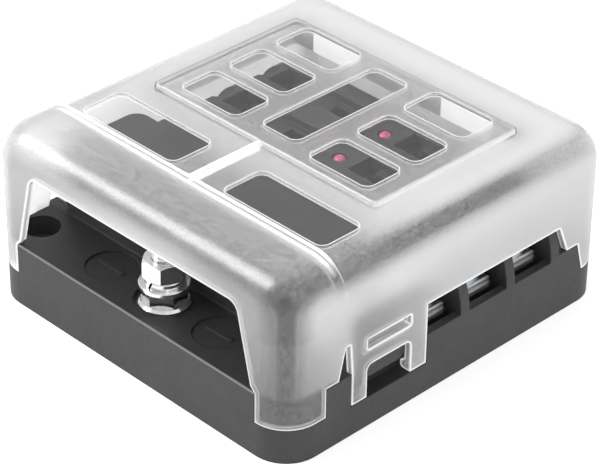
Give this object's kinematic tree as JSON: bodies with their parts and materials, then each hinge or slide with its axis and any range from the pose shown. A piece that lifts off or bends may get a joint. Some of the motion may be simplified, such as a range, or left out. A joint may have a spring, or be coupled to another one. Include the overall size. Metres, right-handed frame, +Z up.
{
  "type": "fuse box",
  "caption": "Blade fuse box with a frosted clip-on cover, an input stud at the front and screw terminals along both sides.",
  "frame": {"origin": "middle of the underside", "axes": "+Z up, the input stud faces -Y, the output terminals open to +X and -X"},
  "size_m": [0.085, 0.09, 0.0397],
  "materials": {
    "black_moulding": "fine moulded texture",
    "frosted_cover": "frosted with polished windows",
    "nickel_steel": "nickel plated",
    "zinc_steel": "zinc plated",
    "tinned_brass": "tin plated",
    "board_laminate": "solder mask",
    "lamp_resin": "clear coloured resin",
    "resistor_black": "coated ceramic"
  },
  "bodies": {
    "housing": {"base": "black_moulding", "back_plate": "black_moulding", "plate_screws": "zinc_steel", "input_stud": "nickel_steel", "flange_nut": "nickel_steel", "bus_strip": "tinned_brass", "strip_screws": "zinc_steel", "indicator_board": "board_laminate", "board_screws": "zinc_steel", "terminal_right_1": "tinned_brass", "led_right_1": "lamp_resin", "resistor_right_1": "resistor_black", "terminal_right_2": "tinned_brass", "led_right_2": "lamp_resin", "resistor_right_2": "resistor_black", "terminal_right_3": "tinned_brass", "led_right_3": "lamp_resin", "resistor_right_3": "resistor_black", "terminal_left_1": "tinned_brass", "led_left_1": "lamp_resin", "resistor_left_1": "resistor_black", "terminal_left_2": "tinned_brass", "led_left_2": "lamp_resin", "resistor_left_2": "resistor_black", "terminal_left_3": "tinned_brass", "led_left_3": "lamp_resin", "resistor_left_3": "resistor_black"},
    "lid": {"cover": "frosted_cover"},
    "stud_nut": {"top_nut": "nickel_steel", "spring_washer": "nickel_steel", "flat_washer": "nickel_steel"},
    "screw_right_1": {"terminal_screw_right_1": "zinc_steel", "clamp_washer_right_1": "zinc_steel"},
    "screw_right_2": {"terminal_screw_right_2": "zinc_steel", "clamp_washer_right_2": "zinc_steel"},
    "screw_right_3": {"terminal_screw_right_3": "zinc_steel", "clamp_washer_right_3": "zinc_steel"},
    "screw_left_1": {"terminal_screw_left_1": "zinc_steel", "clamp_washer_left_1": "zinc_steel"},
    "screw_left_2": {"terminal_screw_left_2": "zinc_steel", "clamp_washer_left_2": "zinc_steel"},
    "screw_left_3": {"terminal_screw_left_3": "zinc_steel", "clamp_washer_left_3": "zinc_steel"}
  },
  "joints": [
    {"name": "cover_lift", "type": "slide", "parent": "housing", "child": "lid", "axis": [0, 0, 1], "range_m": [0, 0.06]},
    {"name": "stud_nut_travel", "type": "slide", "parent": "housing", "child": "stud_nut", "axis": [0, 0, 1], "range_m": [0, 0.0095]},
    {"name": "screw_travel_right_1", "type": "slide", "parent": "housing", "child": "screw_right_1", "axis": [0, 0, 1], "range_m": [0, 0.003]},
    {"name": "screw_travel_right_2", "type": "slide", "parent": "housing", "child": "screw_right_2", "axis": [0, 0, 1], "range_m": [0, 0.003]},
    {"name": "screw_travel_right_3", "type": "slide", "parent": "housing", "child": "screw_right_3", "axis": [0, 0, 1], "range_m": [0, 0.003]},
    {"name": "screw_travel_left_1", "type": "slide", "parent": "housing", "child": "screw_left_1", "axis": [0, 0, 1], "range_m": [0, 0.003]},
    {"name": "screw_travel_left_2", "type": "slide", "parent": "housing", "child": "screw_left_2", "axis": [0, 0, 1], "range_m": [0, 0.003]},
    {"name": "screw_travel_left_3", "type": "slide", "parent": "housing", "child": "screw_left_3", "axis": [0, 0, 1], "range_m": [0, 0.003]}
  ]
}
